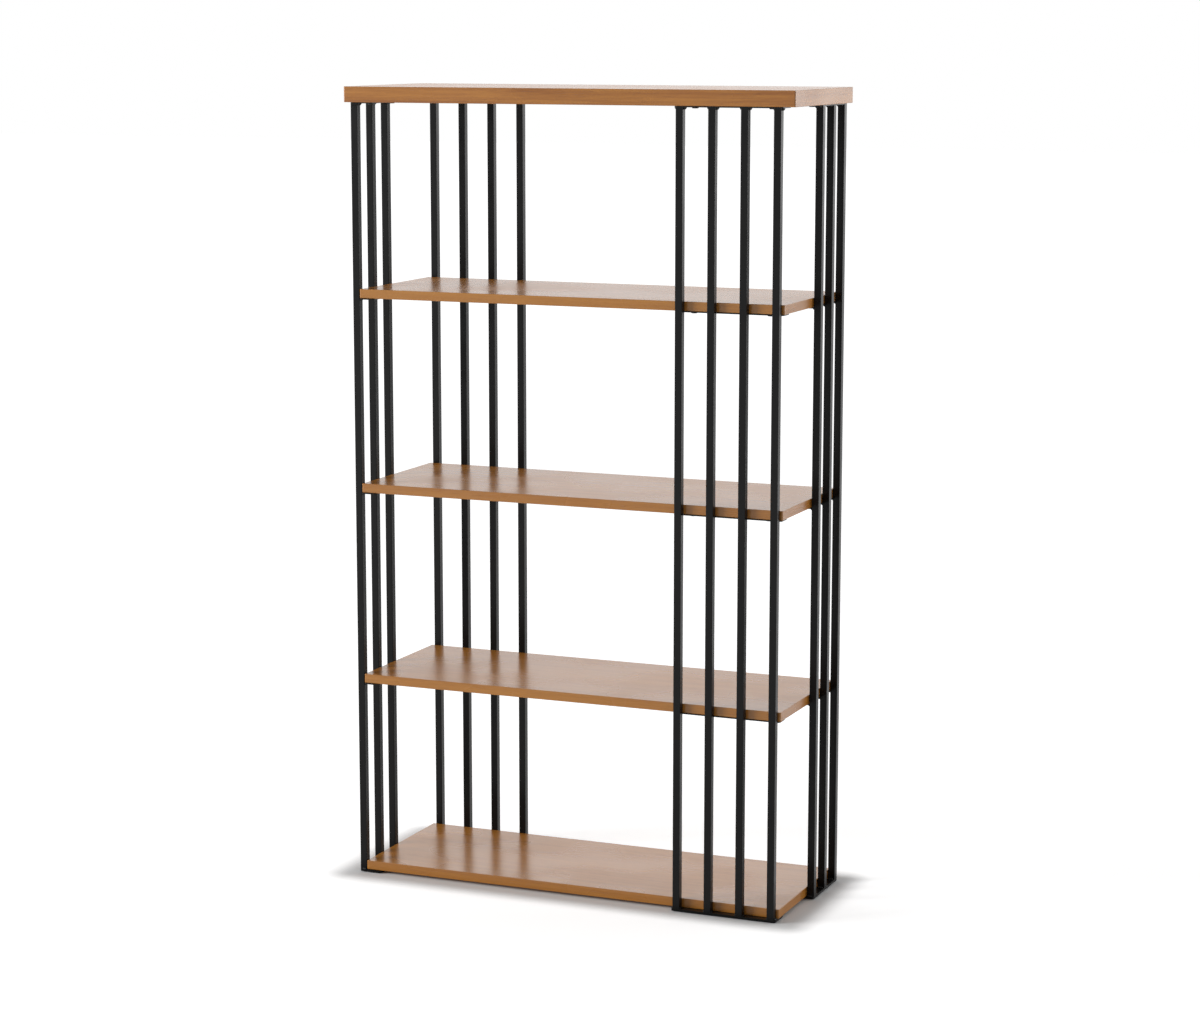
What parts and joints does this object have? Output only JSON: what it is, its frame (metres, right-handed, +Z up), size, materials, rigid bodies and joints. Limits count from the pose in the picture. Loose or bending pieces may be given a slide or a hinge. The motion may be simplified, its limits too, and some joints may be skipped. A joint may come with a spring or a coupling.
{
  "type": "shelf unit",
  "caption": "Tall open shelf unit of veneered boards carried at their edges by screens of slim black square posts, set like a pinwheel round the boards.",
  "frame": {"origin": "on the floor, under the middle of the unit", "axes": "+Z up, +X to the right along the boards, +Y from the front to the back"},
  "size_m": [0.8204, 0.3004, 1.3965],
  "materials": {
    "oak_veneer": "satin lacquered oak veneer",
    "black_powder_coat": "fine satin black powder coat",
    "black_screw": "black oxide",
    "felt_pad": "pressed felt"
  },
  "bodies": {
    "root": {"back_base_bar": "black_powder_coat", "back_lower_bar": "black_powder_coat", "back_middle_bar": "black_powder_coat", "back_post_1": "black_powder_coat", "back_post_2": "black_powder_coat", "back_post_3": "black_powder_coat", "back_post_4": "black_powder_coat", "back_top_bar": "black_powder_coat", "back_upper_bar": "black_powder_coat", "bottom_screws": "black_screw", "bottom_shelf": "oak_veneer", "floor_pads": "felt_pad", "front_base_bar": "black_powder_coat", "front_lower_bar": "black_powder_coat", "front_middle_bar": "black_powder_coat", "front_post_1": "black_powder_coat", "front_post_2": "black_powder_coat", "front_post_3": "black_powder_coat", "front_post_4": "black_powder_coat", "front_top_bar": "black_powder_coat", "front_upper_bar": "black_powder_coat", "left_base_bar": "black_powder_coat", "left_lower_bar": "black_powder_coat", "left_middle_bar": "black_powder_coat", "left_post_1": "black_powder_coat", "left_post_2": "black_powder_coat", "left_post_3": "black_powder_coat", "left_top_bar": "black_powder_coat", "left_upper_bar": "black_powder_coat", "lower_screws": "black_screw", "lower_shelf": "oak_veneer", "middle_screws": "black_screw", "middle_shelf": "oak_veneer", "right_base_bar": "black_powder_coat", "right_lower_bar": "black_powder_coat", "right_middle_bar": "black_powder_coat", "right_post_1": "black_powder_coat", "right_post_2": "black_powder_coat", "right_post_3": "black_powder_coat", "right_top_bar": "black_powder_coat", "right_upper_bar": "black_powder_coat", "top_board": "oak_veneer", "top_screws": "black_screw", "upper_screws": "black_screw", "upper_shelf": "oak_veneer"}
  },
  "joints": []
}
